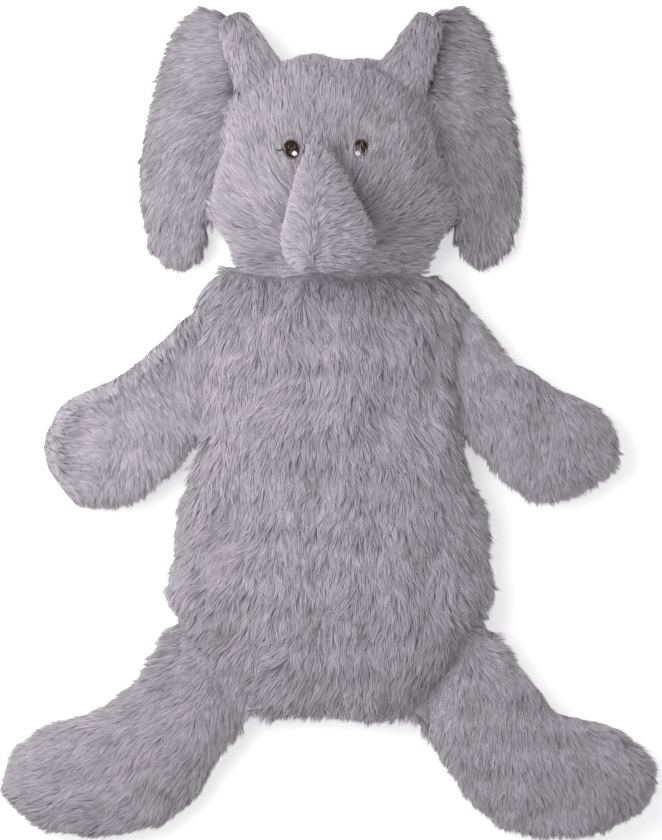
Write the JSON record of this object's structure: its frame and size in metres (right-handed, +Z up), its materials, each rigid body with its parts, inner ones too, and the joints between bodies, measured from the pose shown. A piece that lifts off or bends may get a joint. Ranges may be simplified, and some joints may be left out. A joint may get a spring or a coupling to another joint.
{
  "type": "stuffed elephant",
  "caption": "Floppy long-pile grey plush elephant lying on its back, with hinged head, trunk, ears, arms and legs and embroidered eyes.",
  "frame": {"origin": "middle of the lying toy's outline, on the floor it lies on", "axes": "+Z up out of the belly and face, +Y towards the head, +X towards the elephant's own left arm"},
  "size_m": [0.4194, 0.5277, 0.119],
  "materials": {
    "grey_plush": "long combed pile with a soft sheen",
    "fibre_fill": "loose white polyester fibre",
    "seam_thread": "matt spun thread",
    "brown_thread": "glossy satin stitch",
    "bronze_thread": "glossy satin stitch",
    "white_thread": "glossy satin stitch"
  },
  "bodies": {
    "body": {"body_front_panel": "grey_plush", "body_back_panel": "grey_plush", "body_fill": "fibre_fill", "closing_stitch": "seam_thread"},
    "head": {"head_left_face_panel": "grey_plush", "head_right_face_panel": "grey_plush", "head_back_panel": "grey_plush", "head_fill": "fibre_fill", "left_eye_iris": "brown_thread", "left_eye_rim": "bronze_thread", "left_eye_highlight": "white_thread", "left_eye_lash": "brown_thread", "right_eye_iris": "brown_thread", "right_eye_rim": "bronze_thread", "right_eye_highlight": "white_thread", "right_eye_lash": "brown_thread"},
    "trunk": {"trunk_left_panel": "grey_plush", "trunk_right_panel": "grey_plush", "trunk_fill": "fibre_fill"},
    "left_ear": {"left_ear_front_panel": "grey_plush", "left_ear_back_panel": "grey_plush"},
    "left_arm": {"left_arm_front_panel": "grey_plush", "left_arm_back_panel": "grey_plush", "left_arm_fill": "fibre_fill"},
    "left_leg": {"left_leg_front_panel": "grey_plush", "left_leg_back_panel": "grey_plush", "left_leg_fill": "fibre_fill"},
    "right_ear": {"right_ear_front_panel": "grey_plush", "right_ear_back_panel": "grey_plush"},
    "right_arm": {"right_arm_front_panel": "grey_plush", "right_arm_back_panel": "grey_plush", "right_arm_fill": "fibre_fill"},
    "right_leg": {"right_leg_front_panel": "grey_plush", "right_leg_back_panel": "grey_plush", "right_leg_fill": "fibre_fill"}
  },
  "joints": [
    {"name": "neck_nod", "type": "hinge", "parent": "body", "child": "head", "pos_m": [0, 0.093, 0.02], "axis": [1, 0, 0], "range_deg": [-50, 35]},
    {"name": "trunk_lift", "type": "hinge", "parent": "head", "child": "trunk", "pos_m": [-0.012, 0.179, 0.0772], "axis": [-1, 0, 0], "range_deg": [0, 70]},
    {"name": "left_shoulder_fold", "type": "hinge", "parent": "body", "child": "left_arm", "pos_m": [0.078, 0.037, 0.02], "axis": [0, -1, 0], "range_deg": [-60, 65]},
    {"name": "left_hip_fold", "type": "hinge", "parent": "body", "child": "left_leg", "pos_m": [0.07352, -0.15714, 0.02], "axis": [-0.6427, -0.7661, 0], "range_deg": [-55, 60]},
    {"name": "left_ear_flap", "type": "hinge", "parent": "head", "child": "left_ear", "pos_m": [0.07072, 0.16672, 0.02], "axis": [0.2216, -0.9751, 0], "range_deg": [-45, 75]},
    {"name": "right_shoulder_fold", "type": "hinge", "parent": "body", "child": "right_arm", "pos_m": [-0.078, 0.037, 0.02], "axis": [0, 1, 0], "range_deg": [-60, 65]},
    {"name": "right_hip_fold", "type": "hinge", "parent": "body", "child": "right_leg", "pos_m": [-0.07352, -0.15714, 0.02], "axis": [-0.6427, 0.7661, 0], "range_deg": [-55, 60]},
    {"name": "right_ear_flap", "type": "hinge", "parent": "head", "child": "right_ear", "pos_m": [-0.07072, 0.16672, 0.02], "axis": [0.2216, 0.9751, 0], "range_deg": [-45, 75]}
  ]
}
